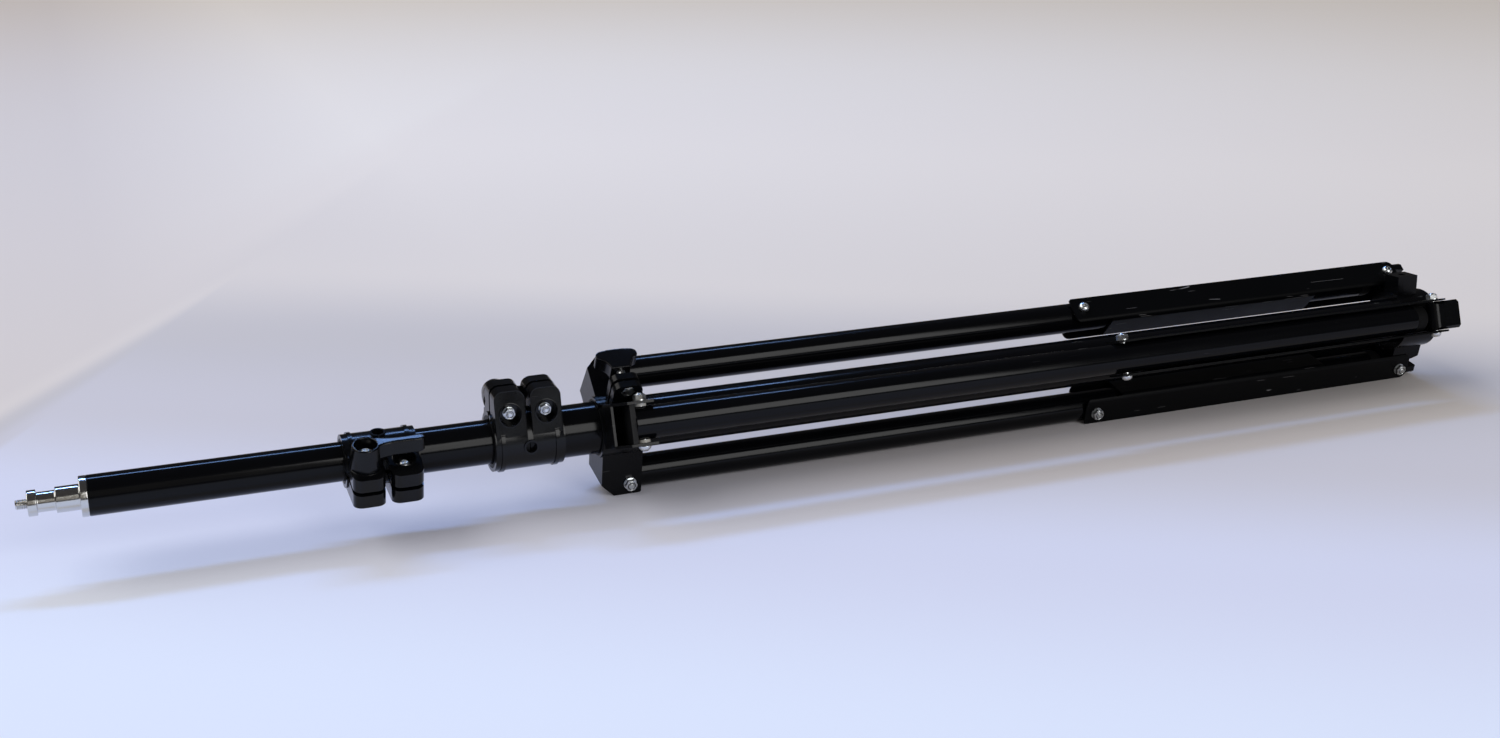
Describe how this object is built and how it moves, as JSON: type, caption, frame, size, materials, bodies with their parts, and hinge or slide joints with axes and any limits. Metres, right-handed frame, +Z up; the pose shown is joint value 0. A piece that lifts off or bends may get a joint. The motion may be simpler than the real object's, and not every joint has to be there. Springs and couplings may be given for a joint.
{
  "type": "light stand",
  "caption": "Folding tripod light stand with a telescoping column, screw clamps, braced swing-out legs and a spigot with a threaded stud, stored folded and lying on one leg.",
  "frame": {"origin": "on the surface that the folded stand lies on, under the middle of its box", "axes": "+X runs along the column from the spigot to the foot hub, +Z is up from the surface that it lies on, -Y is the near side that the picture shows"},
  "size_m": [1.0565, 0.0949, 0.1015],
  "materials": {
    "gloss_black_tube": "gloss black paint over drawn aluminium tube",
    "black_plastic": "satin black moulded plastic",
    "black_nylon": "matt black nylon",
    "black_rubber": "matt black rubber",
    "black_cast_metal": "satin black paint over cast aluminium",
    "black_sheet_steel": "satin black paint over bent sheet",
    "polished_metal": "turned and polished bright metal",
    "zinc_steel": "bright zinc plate",
    "dark_steel": "dark oxide",
    "white_nylon": "natural nylon"
  },
  "bodies": {
    "root": {"lower_tube": "gloss_black_tube", "lower_clamp": "black_plastic", "lower_clamp_liner": "black_nylon", "lower_clamp_bolts": "zinc_steel", "lower_clamp_nuts": "zinc_steel", "hub": "black_cast_metal", "hub_screw": "dark_steel", "column_cap": "black_nylon"},
    "middle_stage": {"middle_tube": "gloss_black_tube", "middle_tube_bush": "black_nylon", "upper_clamp": "black_plastic", "upper_clamp_liner": "black_nylon", "upper_clamp_bolts": "zinc_steel", "upper_clamp_nuts": "zinc_steel"},
    "top_stage": {"top_tube": "gloss_black_tube", "top_tube_bush": "black_nylon", "spigot": "polished_metal", "spigot_stud": "polished_metal"},
    "lower_knob": {"lower_wing_knob": "black_plastic"},
    "upper_knob": {"upper_wing_knob": "black_plastic"},
    "collar": {"leg_collar": "black_cast_metal", "leg_collar_liner": "black_nylon", "leg_collar_nut": "zinc_steel", "leg_pivot_bolt_near": "zinc_steel", "leg_pivot_bolt_top": "zinc_steel", "leg_pivot_bolt_low": "zinc_steel", "leg_spacers_near": "white_nylon", "leg_spacers_top": "white_nylon", "leg_spacers_low": "white_nylon"},
    "collar_knob": {"t_knob": "black_plastic", "t_knob_screw": "zinc_steel"},
    "leg_near": {"leg_tube_near": "gloss_black_tube", "leg_plug_near": "black_nylon", "foot_near": "black_rubber", "brace_bolt_near": "zinc_steel"},
    "brace_near": {"brace_near": "black_sheet_steel", "hub_bolt_near": "zinc_steel"},
    "leg_top": {"leg_tube_top": "gloss_black_tube", "leg_plug_top": "black_nylon", "foot_top": "black_rubber", "brace_bolt_top": "zinc_steel"},
    "brace_top": {"brace_top": "black_sheet_steel", "hub_bolt_top": "zinc_steel"},
    "leg_low": {"leg_tube_low": "gloss_black_tube", "leg_plug_low": "black_nylon", "foot_low": "black_rubber", "brace_bolt_low": "zinc_steel"},
    "brace_low": {"brace_low": "black_sheet_steel", "hub_bolt_low": "zinc_steel"}
  },
  "joints": [
    {"name": "middle_slide", "type": "slide", "parent": "root", "child": "middle_stage", "axis": [-1, 0, 0], "range_m": [0, 0.69]},
    {"name": "top_slide", "type": "slide", "parent": "middle_stage", "child": "top_stage", "axis": [-1, 0, 0], "range_m": [0, 0.755]},
    {"name": "collar_slide", "type": "slide", "parent": "root", "child": "collar", "axis": [1, 0, 0], "range_m": [0, 0.27883]},
    {"name": "lower_knob_turn", "type": "hinge", "parent": "root", "child": "lower_knob", "pos_m": [-0.22895, 0.00073, 0.07199], "axis": [0, 0.9976, 0.0698], "continuous": true},
    {"name": "upper_knob_turn", "type": "hinge", "parent": "middle_stage", "child": "upper_knob", "pos_m": [-0.32425, -0.0188, 0.04288], "axis": [0, -0.2756, 0.9613], "continuous": true},
    {"name": "collar_knob_turn", "type": "hinge", "parent": "collar", "child": "collar_knob", "pos_m": [-0.15155, -0.01608, 0.08218], "axis": [0, 0.8746, 0.4848], "continuous": true},
    {"name": "leg_near_fold", "type": "hinge", "parent": "collar", "child": "leg_near", "pos_m": [-0.14655, -0.03417, 0.06159], "axis": [0, -0.3273, -0.9449], "range_deg": [0, 45.5]},
    {"name": "brace_near_fold", "type": "hinge", "parent": "leg_near", "child": "brace_near", "pos_m": [0.22345, -0.03417, 0.06159], "axis": [0, 0.3273, 0.9449], "range_deg": [0, 112]},
    {"name": "leg_top_fold", "type": "hinge", "parent": "collar", "child": "leg_top", "pos_m": [-0.14655, 0.03155, 0.07424], "axis": [0, -0.6547, 0.7559], "range_deg": [0, 45.5]},
    {"name": "brace_top_fold", "type": "hinge", "parent": "leg_top", "child": "brace_top", "pos_m": [0.22345, 0.03155, 0.07424], "axis": [0, 0.6547, -0.7559], "range_deg": [0, 112]},
    {"name": "leg_low_fold", "type": "hinge", "parent": "collar", "child": "leg_low", "pos_m": [-0.14655, 0.00965, 0.011], "axis": [0, 0.982, 0.189], "range_deg": [0, 45.5]},
    {"name": "brace_low_fold", "type": "hinge", "parent": "leg_low", "child": "brace_low", "pos_m": [0.22345, 0.00965, 0.011], "axis": [0, -0.982, -0.189], "range_deg": [0, 112]}
  ],
  "couplings": [
    {"joint": "leg_near_fold", "follows": "collar_slide", "rad_per_m": 2.8166},
    {"joint": "brace_near_fold", "follows": "collar_slide", "rad_per_m": 6.9586},
    {"joint": "leg_top_fold", "follows": "collar_slide", "rad_per_m": 2.8166},
    {"joint": "brace_top_fold", "follows": "collar_slide", "rad_per_m": 6.9586},
    {"joint": "leg_low_fold", "follows": "collar_slide", "rad_per_m": 2.8166},
    {"joint": "brace_low_fold", "follows": "collar_slide", "rad_per_m": 6.9586}
  ]
}
